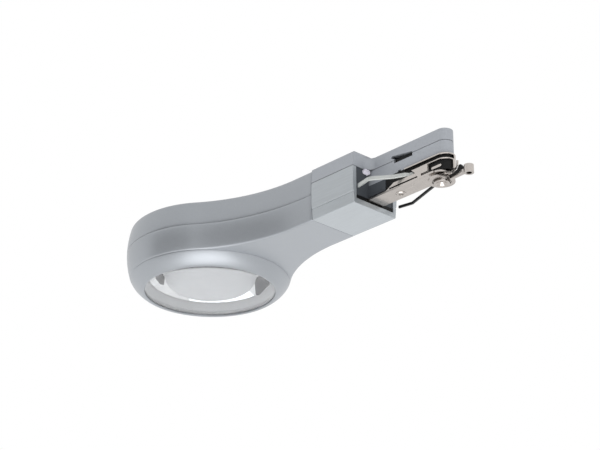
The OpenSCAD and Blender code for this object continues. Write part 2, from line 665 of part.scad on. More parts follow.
// Black block between the tongue and the bracket, which holds the contacts' wiring.
module spacer_block() color([0.06, 0.06, 0.07]) seat() difference() {
    translate([step_end + 0.1, plate_y0 + flange_t + 0.9, plate_z + sheet])
        cube([block_x1 - step_end - 0.1, tongue_w - 0.5, tongue_under - plate_z - sheet]);
    translate([front_rivet[0], front_rivet[1], plate_z]) cylinder(r = front_rivet_r, h = 10, $fn = 32);
}

module front_rivet() color([0.78, 0.76, 0.74]) seat() translate([front_rivet[0], front_rivet[1], 0]) {
    difference() {
        translate([0, 0, plate_z - 0.5]) cylinder(r1 = 1.6, r2 = 2.2, h = 0.5, $fn = 48);
        translate([0, 0, plate_z - 0.5 - eps]) cylinder(r = 0.9, h = 0.4, $fn = 32);
    }
    translate([0, 0, plate_z - eps]) cylinder(r = front_rivet_r, h = seam_z + 1 - plate_z, $fn = 32);
}

// Wall of the end clip, starting at x0 and following the tongue's outline.
module clip_wall(x0) difference() {
    tongue_plan(x0, clip_gap + clip_t);
    tongue_plan(clip_x, clip_gap);
}

module end_clip() color([0.82, 0.8, 0.78]) seat() difference() {
    union() {
        translate([0, 0, tongue_under - clip_t]) linear_extrude(clip_t)
            tongue_plan(clip_x, clip_gap + clip_t);
        translate([0, 0, clip_z]) linear_extrude(clip_h) clip_wall(clip_cage_x);
        translate([0, 0, clip_z]) linear_extrude(tongue_under - clip_z) intersection() {
            clip_wall(clip_x);
            translate([tongue_tip_x, clip_link_y]) square([10, 10]);
        }
    }
    translate([clip_open_x, tongue_y - 10, clip_z - cut])
        cube([20, 10, clip_h - clip_rail + cut]);
    translate([pivot_x, tongue_y, 0]) cylinder(r = pivot_r, h = 20, $fn = 32);
}

// Black filling between the clip's top and its cage, with a liner down the far side.
module clip_insulator() color([0.06, 0.06, 0.07]) seat() difference() {
    union() {
        translate([0, 0, clip_z + clip_h]) linear_extrude(tongue_under - clip_t - clip_z - clip_h)
            tongue_plan(clip_x, -0.3);
        translate([0, 0, clip_z + 0.1]) linear_extrude(clip_h) intersection() {
            difference() {
                tongue_plan(clip_cage_x, 0);
                tongue_plan(clip_x, -0.6);
            }
            translate([clip_cage_x, tongue_y + 0.5]) square([20, 10]);
        }
        translate([0, 0, plate_z + sheet + 0.15]) linear_extrude(clip_z + clip_h - plate_z - sheet)
            intersection() {
                difference() {
                    tongue_plan(screen_x, -screen_gap);
                    tongue_plan(clip_x, -screen_gap - screen_t);
                }
                translate([screen_x, tongue_y - 10]) square([20, 10.5]);
            }
    }
    translate([pivot_x, tongue_y, 0]) cylinder(r = shoulder_r, h = 20, $fn = 32);
    translate([left_pin[0], -left_pin[1], 0]) cylinder(r = pin_r, h = clip_z + clip_h + 0.8, $fn = 32);
}

// Leaf on the black wall inside the clip's open side.
module terminal_leaf() color([0.85, 0.84, 0.82]) seat()
    translate([0, tongue_y - tongue_w / 2 + screen_gap, leaf_z]) rotate([90, 0, 0])
    linear_extrude(leaf_t) hull() for (x = leaf_x) translate([x, 0]) circle(r = leaf_r, $fn = 32);

// Black liner between the profile's floor and the bracket, with a strip along each side.
module base_liner() color([0.05, 0.05, 0.06]) seat() {
    half_w = prof_inner - 0.05;
    translate([plate_x, -half_w, prof_floor]) cube([prof_l - plate_x - 0.2, 2 * half_w, liner_t]);
    for (y = [[-half_w, plate_y0 - 0.1], [plate_y1 + 0.1, half_w]])
        translate([plate_x, y[0], prof_floor]) cube([prof_l - plate_x - 0.2, y[1] - y[0], liner_edge]);
}

module pivot_rivet() color([0.8, 0.78, 0.76]) seat() translate([pivot_x, tongue_y, 0]) difference() {
    union() {
        translate([0, 0, rivet_head_z]) cylinder(r = rivet_head_r, h = latch_z - rivet_head_z, $fn = 48);
        translate([0, 0, latch_z - eps]) cylinder(r = pivot_r, h = tongue_under + 3 - latch_z, $fn = 48);
        translate([0, 0, plate_z + sheet])
            cylinder(r = shoulder_r, h = tongue_under - clip_t - plate_z - sheet, $fn = 48);
        translate([0, 0, collar[1]]) cylinder(r = collar[0], h = collar[2] - collar[1], $fn = 48);
    }
    translate([0, 0, rivet_head_z - cut]) cylinder(r = rivet_bore[0], h = rivet_bore[1] + cut, $fn = 32);
    translate([0, 0, rivet_head_z - eps])
        cylinder(r1 = rivet_flare, r2 = rivet_bore[0], h = rivet_flare - rivet_bore[0], $fn = 32);
}

module latch_washer() color([0.7, 0.7, 0.72]) seat() translate([pivot_x, tongue_y, latch_z + sheet + 0.1])
    ring_wall(washer_r, pivot_r + 0.02, plate_z - latch_z - sheet - 0.1);

// Flat lever round the pivot: a disc with a groove round the rivet, an arm with one upturned edge
// and an upright finger roll.
module latch_lever() color([0.83, 0.81, 0.79]) seat() translate([pivot_x, tongue_y, latch_z]) {
    difference() {
        linear_extrude(sheet) difference() {
            union() {
                difference() {
                    circle(r = latch_disc_r);
                    polygon(notch_plan);
                }
                polygon(arm_plan);
            }
            circle(r = pivot_r + running_gap);
        }
        translate([0, 0, -cut]) ring_wall(latch_groove[1], latch_groove[0], cut + latch_groove[2]);
    }
    translate([0, wall_y + wall_t, 0]) rotate([90, 0, 0]) linear_extrude(wall_t) polygon(wall_side);
    translate([latch_reach, roll_y, -roll_drop]) difference() {
        cylinder(r = roll_r, h = roll_h, $fn = 48);
        translate([0, 0, -cut]) cylinder(r = roll_bore, h = cut + roll_h - 1, $fn = 32);
    }
}

// Black grip pad that stands on the lever's arm.
module latch_pad() color([0.05, 0.05, 0.05]) seat()
    translate([pivot_x, tongue_y + pad_y[1], latch_z]) rotate([90, 0, 0])
    linear_extrude(pad_y[1] - pad_y[0]) polygon(pad_side);

module return_spring() color([0.75, 0.74, 0.72]) seat() wire(concat(
    [for (a = [spring_start:24:-60]) [pivot_x + spring_r * cos(a), tongue_y + spring_r * sin(a),
        spring_z + spring_pitch * (a - spring_start) / 360]],
    spring_leg), spring_wire);

// ---------- side contacts ----------

module strip_run(s, a, b) hull() for (p = [a, b]) translate([p[0], s * p[1]])
    circle(r = strip_t / 2, $fn = 16);

// Strip from its eye at the origin to its free tip; s is -1 on the left and 1 on the right.
module contact(s, pin, z0, h, path) translate([pin[0], s * pin[1], z0]) linear_extrude(h) difference() {
    union() {
        circle(r = eye_r);
        for (i = [0:len(path) - 2]) strip_run(s, path[i], path[i + 1]);
    }
    circle(r = pin_r + running_gap);
}
module contact_left() color([0.8, 0.8, 0.78]) seat() contact(-1, left_pin, left_z, left_h, left_path);
module contact_right() color([0.08, 0.08, 0.08]) seat() contact(1, right_pin, right_z, right_h, right_path);

// The left pin stands between the plate and the black filling; the right one stands on the plate's ear.
module contact_pin_left() color([0.75, 0.74, 0.72]) seat() translate([left_pin[0], -left_pin[1], plate_z]) {
    cylinder(r = pin_r, h = clip_z + clip_h + 0.8 - plate_z, $fn = 32);
    translate([0, 0, sheet]) cylinder(r = pin_head_r, h = left_z - 0.1 - plate_z - sheet, $fn = 32);
}
module contact_pin_right() color([0.75, 0.74, 0.72]) seat() translate([right_pin[0], right_pin[1], plate_z]) {
    cylinder(r = pin_r, h = right_z + right_h + 0.1 - plate_z + eps, $fn = 32);
    translate([0, 0, right_z + right_h + 0.1 - plate_z]) cylinder(r = pin_head_r, h = pin_head_h, $fn = 32);
}

lower_shell();
upper_shell();
shell_screws();
bezel_ring();
lens_gasket();
lens();
lens_spacer();
lens_webs();
reflector();
diffuser();
light_chamber();
led_board();
leds();
thermal_pad();
heat_sink();
heat_sink_screws();
led_board_screws();
driver_board();
driver_board_screws();
capacitor();
choke();
driver_chip();
input_terminal();
lead_live();
lead_return();
led_lead_plus();
led_lead_minus();
profile_housing();
top_cap();
insulating_insert();
tongue_base();
pole_carrier();
neck_screws();
locating_stud();
bracket();
spacer_block();
front_rivet();
end_clip();
clip_insulator();
terminal_leaf();
base_liner();
pivot_rivet();
latch_washer();
latch_lever();
latch_pad();
return_spring();
contact_left();
contact_right();
contact_pin_left();
contact_pin_right();
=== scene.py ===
"""Loupe-shaped rail spotlight, seen from below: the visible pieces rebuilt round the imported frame."""
import json
import math

import bmesh
import bpy
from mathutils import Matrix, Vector


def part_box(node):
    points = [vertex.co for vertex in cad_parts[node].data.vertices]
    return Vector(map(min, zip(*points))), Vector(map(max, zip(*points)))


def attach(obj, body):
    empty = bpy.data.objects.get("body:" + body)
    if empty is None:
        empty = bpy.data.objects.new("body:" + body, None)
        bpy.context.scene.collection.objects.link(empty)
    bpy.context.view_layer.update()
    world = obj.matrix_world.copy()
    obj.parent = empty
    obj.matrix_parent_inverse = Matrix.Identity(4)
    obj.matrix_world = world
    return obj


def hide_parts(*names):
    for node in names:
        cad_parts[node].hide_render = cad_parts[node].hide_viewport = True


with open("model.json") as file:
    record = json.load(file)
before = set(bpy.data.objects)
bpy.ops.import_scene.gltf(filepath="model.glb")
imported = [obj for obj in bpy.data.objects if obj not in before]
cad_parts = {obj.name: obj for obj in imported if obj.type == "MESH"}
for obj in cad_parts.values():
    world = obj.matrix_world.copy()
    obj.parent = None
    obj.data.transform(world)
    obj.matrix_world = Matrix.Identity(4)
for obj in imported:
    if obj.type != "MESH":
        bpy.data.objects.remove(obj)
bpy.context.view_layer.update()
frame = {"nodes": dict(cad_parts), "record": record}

MM = 0.001
NODES = frame["nodes"]
SLOT = {part["node"]: part["material_slot"] for part in frame["record"]["subparts"]}
BODY = {node: body for body, members in frame["record"]["behaviour"]["bodies"].items() for node in members}

# ---------- sizes, in millimetres from the neck's end and the underside ----------

NECK_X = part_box("lower_shell")[1].x
UNDER_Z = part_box("lower_shell")[0].z
PARTING = (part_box("lower_shell")[1].z - UNDER_Z) / MM
TOP = (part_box("upper_shell")[1].z - UNDER_Z) / MM
HEAD_GAP = (NECK_X - (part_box("lens")[0].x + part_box("lens")[1].x) / 2) / MM
HEAD_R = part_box("lower_shell")[1].y / MM
HEAD_BULGE = 1.85
NECK_BULGE = 0.6
NECK_HALF = 12.0
FLARE_R = 72.0
WALL = 2.2
SPIGOT_R = 32.4
SEAM = 0.08                 # gap between the neck's end and the block

BEZEL_DROP = (UNDER_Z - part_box("bezel_ring")[0].z) / MM
BEZEL_TOP = (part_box("bezel_ring")[1].z - UNDER_Z) / MM
BEZEL_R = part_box("bezel_ring")[1].y / MM
OPENING_R = 28.45
RIM_R = 29.7
FLANK_BOW = 0.55
LEDGE_Z = -4.6
BORE_R = 30.0

LENS_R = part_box("lens")[1].y / MM
LENS_LOW = (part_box("lens")[0].z - UNDER_Z) / MM
LENS_TOP = (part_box("lens")[1].z - UNDER_Z) / MM
LENS_FLANGE = LENS_TOP - 2.5
LENS_DOME = 0.25
FACE_R = OPENING_R - 0.12

SPACER_TOP = (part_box("lens_spacer")[1].z - UNDER_Z) / MM
SPACER_TOP_R = 26.4
REFLECTOR_TOP = (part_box("reflector")[1].z - UNDER_Z) / MM
PLUG_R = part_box("diffuser")[1].y / MM
PLUG_LOW = (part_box("diffuser")[0].z - UNDER_Z) / MM


def place(x, y, z):
    """Point in the row frame from millimetres in the neck's own frame."""
    return Vector((NECK_X + x * MM, y * MM, UNDER_Z + z * MM))


# ---------- mesh helpers ----------

def add_object(name, mesh, material, body, slot, *nodes):
    piece = bpy.data.objects.new(name, mesh)
    bpy.context.scene.collection.objects.link(piece)
    mesh.materials.clear()
    mesh.materials.append(material)
    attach(piece, body)
    if nodes:
        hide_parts(*nodes)
    return piece


def finish_mesh(bm, name, sharp_deg=30):
    bmesh.ops.remove_doubles(bm, verts=bm.verts, dist=1e-7)
    bmesh.ops.recalc_face_normals(bm, faces=bm.faces)
    limit = math.radians(sharp_deg)
    for face in bm.faces:
        face.smooth = True
    for edge in bm.edges:
        edge.smooth = len(edge.link_faces) == 2 and edge.calc_face_angle(0) < limit
    mesh = bpy.data.meshes.new(name)
    bm.to_mesh(mesh)
    bm.free()
    return mesh


def round_edges(piece, width, segments=2, angle=32):
    bevel = piece.modifiers.new("round", "BEVEL")
    bevel.width = width * MM
    bevel.segments = segments
    bevel.limit_method = "ANGLE"
    bevel.angle_limit = math.radians(angle)
    bevel.use_clamp_overlap = True
    weights = piece.modifiers.new("weights", "WEIGHTED_NORMAL")
    weights.keep_sharp = True
    return piece


def soften(node, material, width, segments=2, angle=32, name=None):
    """The CAD node's own shape with its flat faces joined up and its edges rounded."""
    bm = bmesh.new()
    bm.from_mesh(NODES[node].data)
    bmesh.ops.remove_doubles(bm, verts=bm.verts, dist=2e-6)
    bmesh.ops.dissolve_limit(bm, angle_limit=math.radians(0.5), verts=bm.verts, edges=bm.edges)
    mesh = finish_mesh(bm, node, 40)
    piece = add_object(name or node + "_body", mesh, material, BODY[node], SLOT[node], node)
    return round_edges(piece, width, segments, angle)


def bridge(bm, ring_a, ring_b, closed=True):
    count = len(ring_a)
    for i in range(count if closed else count - 1):
        j = (i + 1) % count
        bm.faces.new((ring_a[i], ring_a[j], ring_b[j], ring_b[i]))


def add_ring(bm, points):
    return [bm.verts.new(p) for p in points]


def ring_edges(bm, ring):
    edges = []
    for i, vert in enumerate(ring):
        other = ring[(i + 1) % len(ring)]
        edges.append(bm.edges.get((vert, other)) or bm.edges.new((vert, other)))
    return edges


def fill_flat(bm, *rings):
    edges = [edge for ring in rings for edge in ring_edges(bm, ring)]
    bmesh.ops.triangle_fill(bm, use_beauty=True, use_dissolve=False, edges=edges)


def revolve(name, profile, centre, segments=160, closed=True, sharp_deg=30):
    """Turns a list of (radius, height) in millimetres round the vertical line through centre."""
    bm = bmesh.new()
    rings = []
    for radius, height in profile:
        if radius < 1e-6:
            rings.append([bm.verts.new(centre + Vector((0, 0, height * MM)))] * segments)
            continue
        rings.append([bm.verts.new(centre + Vector((
            radius * MM * math.cos(2 * math.pi * i / segments),
            radius * MM * math.sin(2 * math.pi * i / segments),
            height * MM))) for i in range(segments)])
    pairs = list(zip(rings, rings[1:])) + ([(rings[-1], rings[0])] if closed else [])
    for a, b in pairs:
        for i in range(segments):
            j = (i + 1) % segments
            corners = list(dict.fromkeys((a[i], a[j], b[j], b[i])))
            if len(corners) > 2:
                bm.faces.new(corners)
    return finish_mesh(bm, name, sharp_deg)


def arc(cx, cy, radius, start, end, steps):
    """Points on an arc, angles in degrees."""
    turn = [math.radians(start + (end - start) * i / steps) for i in range(steps + 1)]
    return [(cx + radius * math.cos(a), cy + radius * math.sin(a)) for a in turn]


def round_corners(points, radius, steps=4):
    """The closed outline with each corner cut back and rounded."""
    out = []
    count = len(points)
    for i, corner in enumerate(points):
        here = Vector(corner)
        before = Vector(points[i - 1]) - here
        after = Vector(points[(i + 1) % count]) - here
        reach = min(radius, before.length * 0.45, after.length * 0.45)
        a = here + before.normalized() * reach
        b = here + after.normalized() * reach
        for k in range(steps + 1):
            t = k / steps
            out.append(tuple(a * (1 - t) ** 2 + here * 2 * t * (1 - t) + b * t ** 2))
    return out


# ---------- materials ----------

def new_material(name, roughness, metallic=0.0, specular=0.5):
    material = bpy.data.materials.new(name)
    material.use_nodes = True
    shader = material.node_tree.nodes["Principled BSDF"]
    shader.inputs["Roughness"].default_value = roughness
    shader.inputs["Metallic"].default_value = metallic
    shader.inputs["Specular IOR Level"].default_value = specular
    return material, material.node_tree, shader


def noise_field(tree, scale, stretch=(1, 1, 1), detail=4, rough=0.55):
    """Noise in the object's own metres; scale is features per metre."""
    place_node = tree.nodes.new("ShaderNodeTexCoord")
    mapping = tree.nodes.new("ShaderNodeMapping")
    mapping.inputs["Scale"].default_value = [scale * s for s in stretch]
    noise = tree.nodes.new("ShaderNodeTexNoise")
    noise.inputs["Scale"].default_value = 1
    noise.inputs["Detail"].default_value = detail
    noise.inputs["Roughness"].default_value = rough
    tree.links.new(place_node.outputs["Object"], mapping.inputs["Vector"])
    tree.links.new(mapping.outputs["Vector"], noise.inputs["Vector"])
    return noise.outputs["Fac"]


def tint(tree, field, dark, light, low=0.3, high=0.7):
    ramp = tree.nodes.new("ShaderNodeValToRGB")
    ramp.color_ramp.elements[0].position = low
    ramp.color_ramp.elements[0].color = (*dark, 1)
    ramp.color_ramp.elements[1].position = high
    ramp.color_ramp.elements[1].color = (*light, 1)
    tree.links.new(field, ramp.inputs["Fac"])
    return ramp.outputs["Color"]


def spread(tree, field, low, high):
    span = tree.nodes.new("ShaderNodeMapRange")
    span.inputs["From Min"].default_value = 0.3
    span.inputs["From Max"].default_value = 0.7
    span.inputs["To Min"].default_value = low
    span.inputs["To Max"].default_value = high
    tree.links.new(field, span.inputs["Value"])
    return span.outputs["Result"]


def relief(tree, shader, field, height, strength):
    bump = tree.nodes.new("ShaderNodeBump")
    bump.inputs["Distance"].default_value = height * MM
    bump.inputs["Strength"].default_value = strength
    tree.links.new(field, bump.inputs["Height"])
    tree.links.new(bump.outputs["Normal"], shader.inputs["Normal"])


def blend_colours(tree, mask, first, second):
    mix = tree.nodes.new("ShaderNodeMix")
    mix.data_type = "RGBA"
    tree.links.new(mask, mix.inputs[0])
    tree.links.new(first, mix.inputs[6])
    tree.links.new(second, mix.inputs[7])
    return mix.outputs[2]


def linear(*rgb):
    """Display colour 0..255 to the shader's linear colour."""
    return tuple(((c / 255 + 0.055) / 1.055) ** 2.4 if c > 10 else c / 255 / 12.92 for c in rgb)


def shade(rgb, factor):
    return tuple(min(1.0, c * factor) for c in rgb)


def surface(name, rgb, roughness, metallic=0.0, specular=0.5, grain=900, stretch=(1, 1, 1), vary=0.05,
            rough_vary=0.06, bump=0.01, strength=0.25, flecks=0.0, coat=0.0):
    """A finish with slow colour drift, fine grain in its relief and uneven roughness."""
    material, tree, shader = new_material(name, roughness, metallic, specular)
    base = linear(*rgb)
    slow = noise_field(tree, 38, (1, 1, 1), 3)
    fine = noise_field(tree, grain, stretch, 5, 0.6)
    colour = tint(tree, slow, shade(base, 1 - vary), shade(base, 1 + vary))
    if flecks:
        specks = noise_field(tree, 5200, (1, 1, 1), 1, 0.5)
        bright = tint(tree, fine, shade(base, 1 - flecks), shade(base, 1 + flecks), 0.35, 0.65)
        mask = spread(tree, specks, 0.15, 0.75)
        colour = blend_colours(tree, mask, colour, bright)
    tree.links.new(colour, shader.inputs["Base Color"])
    tree.links.new(spread(tree, fine, roughness - rough_vary, roughness + rough_vary),
                   shader.inputs["Roughness"])
    relief(tree, shader, fine, bump, strength)
    if coat:
        shader.inputs["Coat Weight"].default_value = coat
        shader.inputs["Coat Roughness"].default_value = 0.25
    return material


def clear_lens():
    material, tree, shader = new_material("clear_lens", 0.04)
    shader.inputs["Transmission Weight"].default_value = 1.0
    shader.inputs["IOR"].default_value = 1.49
    haze = noise_field(tree, 420, (1, 1, 1), 3)
    tree.links.new(tint(tree, haze, (0.93, 0.95, 0.96), (0.98, 0.985, 0.99)), shader.inputs["Base Color"])
    tree.links.new(spread(tree, haze, 0.02, 0.06), shader.inputs["Roughness"])
    return material


def mirror():
    material, tree, shader = new_material("mirror_cone", 0.08, 1.0)
    ripple = noise_field(tree, 260, (1, 1, 0.3), 2)
    tree.links.new(tint(tree, ripple, (0.90, 0.90, 0.92), (0.96, 0.96, 0.97)), shader.inputs["Base Color"])
    tree.links.new(spread(tree, ripple, 0.05, 0.12), shader.inputs["Roughness"])
    relief(tree, shader, ripple, 0.05, 0.3)
    return material


def satin_opal():
    """Milky plastic that carries light a few millimetres under its surface."""
    material = surface("opal", (222, 223, 226), 0.5, 0.0, 0.4, 1900, vary=0.01, bump=0.01)
    shader = material.node_tree.nodes["Principled BSDF"]
    shader.inputs["Subsurface Weight"].default_value = 0.8
    shader.inputs["Subsurface Radius"].default_value = (1.0, 1.0, 1.0)
    shader.inputs["Subsurface Scale"].default_value = 6 * MM
    return material


def paint_crevice_shade(material, reach, depth):
    """Painted shade: darkens the base colour where faces meet closely, standing in for the shadow that falls in
    the crevices and joints of pressed sheet parts.
    """
    tree = material.node_tree
    shader = tree.nodes["Principled BSDF"]
    base = shader.inputs["Base Color"].links[0].from_socket
    nook = tree.nodes.new("ShaderNodeAmbientOcclusion")
    nook.samples = 8
    nook.inputs["Distance"].default_value = reach * MM
    darker = tree.nodes.new("ShaderNodeMapRange")
    darker.inputs["From Min"].default_value = 0.2
    darker.inputs["From Max"].default_value = 0.9
    darker.inputs["To Min"].default_value = 1 - depth
    darker.inputs["To Max"].default_value = 1.0
    tree.links.new(nook.outputs["AO"], darker.inputs["Value"])
    scale = tree.nodes.new("ShaderNodeVectorMath")
    scale.operation = "SCALE"
    tree.links.new(base, scale.inputs[0])
    tree.links.new(darker.outputs["Result"], scale.inputs["Scale"])
    tree.links.new(scale.outputs["Vector"], shader.inputs["Base Color"])
    return material


MATERIALS = {
    "silver_paint": surface("silver_paint", (157, 161, 166), 0.40, 0.55, 0.5, 2600, vary=0.02, flecks=0.10,
                            bump=0.006, strength=0.2, coat=0.15),
    "bezel_paint": surface("bezel_paint", (163, 167, 172), 0.42, 0.75, 0.5, 2600, vary=0.02, flecks=0.08,
                           bump=0.005, strength=0.2, coat=0.2),
    "anodised": surface("anodised", (172, 177, 181), 0.38, 0.55, 0.5, 1500, (0.04, 1, 1), 0.03, 0.08, 0.008,
                        0.35, flecks=0.12),
    # silver plastic with painted shade: darker colour in its crevices and at the arm's root, where shadow falls
    "silver_plastic": paint_crevice_shade(surface("silver_plastic", (160, 164, 170), 0.45, 0.25, 0.5, 2100, vary=0.03,
                                     flecks=0.1, bump=0.01, strength=0.25), 5, 0.5),
    "grey_plastic": surface("grey_plastic", (64, 68, 73), 0.55, 0.0, 0.4, 1600, vary=0.05),
    "pale_plastic": surface("pale_plastic", (224, 221, 232), 0.38, 0.0, 0.5, 900, vary=0.03),
    # painted shade: a dark colour for the lens webs, standing in for the shade on the web that faces away from
    # the light
    "web_plastic": surface("web_plastic", (62, 64, 74), 0.5, 0.0, 0.4, 1500, vary=0.08),
    # near-black, partly black insulating plastic and partly painted shade for pieces that sit in shadowed gaps
    "black_plastic": surface("black_plastic", (12, 12, 13), 0.55, 0.0, 0.25, 1800, vary=0.15),
    "black_rubber": surface("black_rubber", (70, 72, 74), 0.75, 0.0, 0.3, 1400, vary=0.12),
    "clear_lens": clear_lens(),
    "mirror_cone": mirror(),
    "opal": satin_opal(),
    "white_board": surface("white_board", (228, 230, 228), 0.45, 0.0, 0.5, 700),
    "led_phosphor": surface("led_phosphor", (240, 205, 90), 0.35, 0.0, 0.5, 1200),
    "thermal_pad": surface("thermal_pad", (140, 150, 170), 0.8, 0.0, 0.3, 1200),
    "raw_aluminium": surface("raw_aluminium", (185, 188, 192), 0.4, 0.8, 0.5, 1100, (0.06, 1, 1), 0.04),
    "zinc_screw": surface("zinc_screw", (168, 170, 172), 0.35, 0.8, 0.5, 1500),
    "green_board": surface("green_board", (20, 92, 50), 0.4, 0.0, 0.5, 700),
    "blue_sleeve": surface("blue_sleeve", (34, 44, 88), 0.3, 0.0, 0.5, 600),
    "copper_winding": surface("copper_winding", (176, 98, 52), 0.35, 0.8, 0.5, 2400, (1, 1, 6), 0.12),
    "chip_epoxy": surface("chip_epoxy", (30, 30, 32), 0.6, 0.0, 0.4, 2000),
    "terminal_green": surface("terminal_green", (44, 118, 74), 0.4, 0.0, 0.5, 900),
    "red_lead": surface("red_lead", (158, 24, 18), 0.4, 0.0, 0.5, 1200),
    "black_lead": surface("black_lead", (24, 24, 24), 0.4, 0.0, 0.5, 1200),
    # nickel with painted shade: darker colour in the gaps and joints between the latch's sheet parts, where
    # shadow falls
    "nickel": paint_crevice_shade(surface("nickel", (194, 188, 183), 0.22, 1.0, 0.5, 1300, (0.12, 1, 1), 0.06, 0.08, 0.008,
                             0.35, flecks=0.1), 1.6, 0.75),
    "tin_plate": surface("tin_plate", (190, 193, 191), 0.42, 0.7, 0.5, 1200, (0.15, 1, 1), 0.06, 0.08),
    "black_contact": surface("black_contact", (24, 24, 24), 0.45, 0.1, 0.5, 1500, vary=0.15),
}


def dress_cad_nodes():
    for name, node in NODES.items():
        node.data.materials.clear()
        node.data.materials.append(MATERIALS[SLOT[name]])


# ---------- head and neck ----------

FOOT_R = HEAD_R - HEAD_BULGE
FLARE_X = -HEAD_GAP + math.sqrt((FOOT_R + FLARE_R) ** 2 - (NECK_HALF + FLARE_R) ** 2)
FLARE_A = math.degrees(math.atan2(NECK_HALF + FLARE_R, FLARE_X + HEAD_GAP))
CORNER = 0.3


def half_outline():
    """Plan of the underside from the neck's end round to the tip: point and outward direction."""
    out = [((0, NECK_HALF - CORNER), (0, 1)), ((-CORNER * 0.3, NECK_HALF - CORNER * 0.3), (0, 1))]
    for i in range(7):
        out.append(((-CORNER + (FLARE_X + CORNER) * i / 7, NECK_HALF), (0, 1)))
    for x, y in arc(0, 0, 1, -90, -180 + FLARE_A, 26):
        out.append(((FLARE_X + FLARE_R * x, NECK_HALF + FLARE_R + FLARE_R * y), (-x, -y)))
    for x, y in arc(0, 0, 1, FLARE_A, 180, 60)[1:]:
        out.append(((-HEAD_GAP + FOOT_R * x, FOOT_R * y), (x, y)))
    return out


HALF = half_outline()
OUTLINE = HALF + [((p[0], -p[1]), (n[0], -n[1])) for p, n in reversed(HALF[:-1])]


def swell(z):
    if z < PARTING:
        return 1 - ((PARTING - z) / PARTING) ** 2
    return 1 - 0.9 * ((z - PARTING) / (TOP - PARTING)) ** 2


def bulge(x):
    t = min(1, -x / 30)
    return NECK_BULGE + (HEAD_BULGE - NECK_BULGE) * t * t * (3 - 2 * t)


def shell_ring(z, inset, level=None, x_max=0.0):
    """The outline swollen as at height level, drawn in by inset and laid at height z."""
    points = []
    for (x, y), (nx, ny) in OUTLINE:
        d = bulge(x) * swell(z if level is None else level) - inset
        points.append(place(min(x + nx * d, x_max) - SEAM, y + ny * d, z))
    return points


def circle(cx, cy, radius, z, count):
    return [place(cx + radius * math.cos(2 * math.pi * i / count),
                  cy + radius * math.sin(2 * math.pi * i / count), z) for i in range(count)]


def edge_round(z, radius, side, steps=5):
    """Fillet between a flat face at height z and the shell's side: (height, inset) pairs."""
    out = []
    for i in range(steps + 1):
        a = math.pi / 2 * i / steps
        out.append((z + side * radius * (1 - math.cos(a)), radius * (1 - math.sin(a))))
    return out


def build_shell(name, node, face_z, side, fillet, holes):
    """One half of the housing: rounded face edge, swollen side, parting groove, inner wall and holes."""
    bm = bmesh.new()
    levels = [(face_z, fillet + 1.2)] + edge_round(face_z, fillet, side)
    start = levels[-1][0]
    lip = PARTING - side * 0.2
    levels += [(start + (lip - start) * i / 10, 0.0) for i in range(1, 11)]
    levels += [(PARTING - side * 0.08, 0.05), (PARTING - side * 0.03, 0.2), (PARTING - side * 0.03, 0.6)]
    rings = [add_ring(bm, shell_ring(z, inset)) for z, inset in levels]
    inner_z = face_z + side * WALL
    inner = [(PARTING - side * 0.03, WALL), (inner_z, WALL)]
    rings += [add_ring(bm, shell_ring(z, inset, PARTING, -WALL)) for z, inset in inner]
    for a, b in zip(rings, rings[1:]):
        bridge(bm, a, b)
    outer_holes = []
    inner_holes = []
    for cx, cy, r_out, r_in, depth, count in holes:
        top = add_ring(bm, circle(cx, cy, r_out, face_z, count))
        neck = add_ring(bm, circle(cx, cy, r_in, face_z + side * depth, count))
        bottom = add_ring(bm, circle(cx, cy, r_in, inner_z, count))
        bridge(bm, top, neck)
        bridge(bm, neck, bottom)
        outer_holes.append(top)
        inner_holes.append(bottom)
    fill_flat(bm, rings[0], *outer_holes)
    fill_flat(bm, rings[-1], *inner_holes)
    mesh = finish_mesh(bm, name, 35)
    return add_object(name, mesh, MATERIALS["silver_paint"], "lamp", "silver_paint", node)


SCREW_PLACES = [(-7, 8.2), (-7, -8.2), (-44, 14.5), (-44, -14.5)]
SCREW_HEAD_R = 2.85
SCREW_SHANK_R = 1.5
SINK_DEPTH = 1.65


def make_shells():
    build_shell("lower_housing", "lower_shell", 0.0, 1, 0.7, [(-HEAD_GAP, 0, SPIGOT_R, SPIGOT_R, WALL / 2, 128)])
    build_shell("upper_housing", "upper_shell", TOP, -1, 1.3,
                [(x, y, SCREW_HEAD_R, SCREW_SHANK_R, SINK_DEPTH, 32) for x, y in SCREW_PLACES])


HEAD = place(-HEAD_GAP, 0, 0)


def make_bezel():
    """Ring with a bowed sloping side, a narrow flat rim, a chamfer into the opening and the lens ledge."""
    slope = math.hypot(BEZEL_R - RIM_R, BEZEL_DROP)
    flank = [(BEZEL_R - 0.25, 0.02), (BEZEL_R - 0.06, -0.04)]
    for i in range(1, 20):
        t = i / 20
        bow = 4 * FLANK_BOW * t * (1 - t)
        flank.append((BEZEL_R + (RIM_R - BEZEL_R) * t + bow * BEZEL_DROP / slope,
                      -BEZEL_DROP * t - bow * (BEZEL_R - RIM_R) / slope))
    rim = [(RIM_R + 0.02, -BEZEL_DROP + 0.1), (RIM_R - 0.14, -BEZEL_DROP),
           (OPENING_R + 0.3, -BEZEL_DROP), (OPENING_R + 0.08, -BEZEL_DROP + 0.08),
           (OPENING_R, -BEZEL_DROP + 0.28), (OPENING_R, LEDGE_Z), (BORE_R, LEDGE_Z),
           (BORE_R, BEZEL_TOP), (SPIGOT_R - 0.05, BEZEL_TOP), (SPIGOT_R - 0.05, 0.02)]
    mesh = revolve("bezel", flank + rim, HEAD, 192, sharp_deg=40)
    add_object("bezel", mesh, MATERIALS["bezel_paint"], "lamp", "bezel_paint", "bezel_ring")


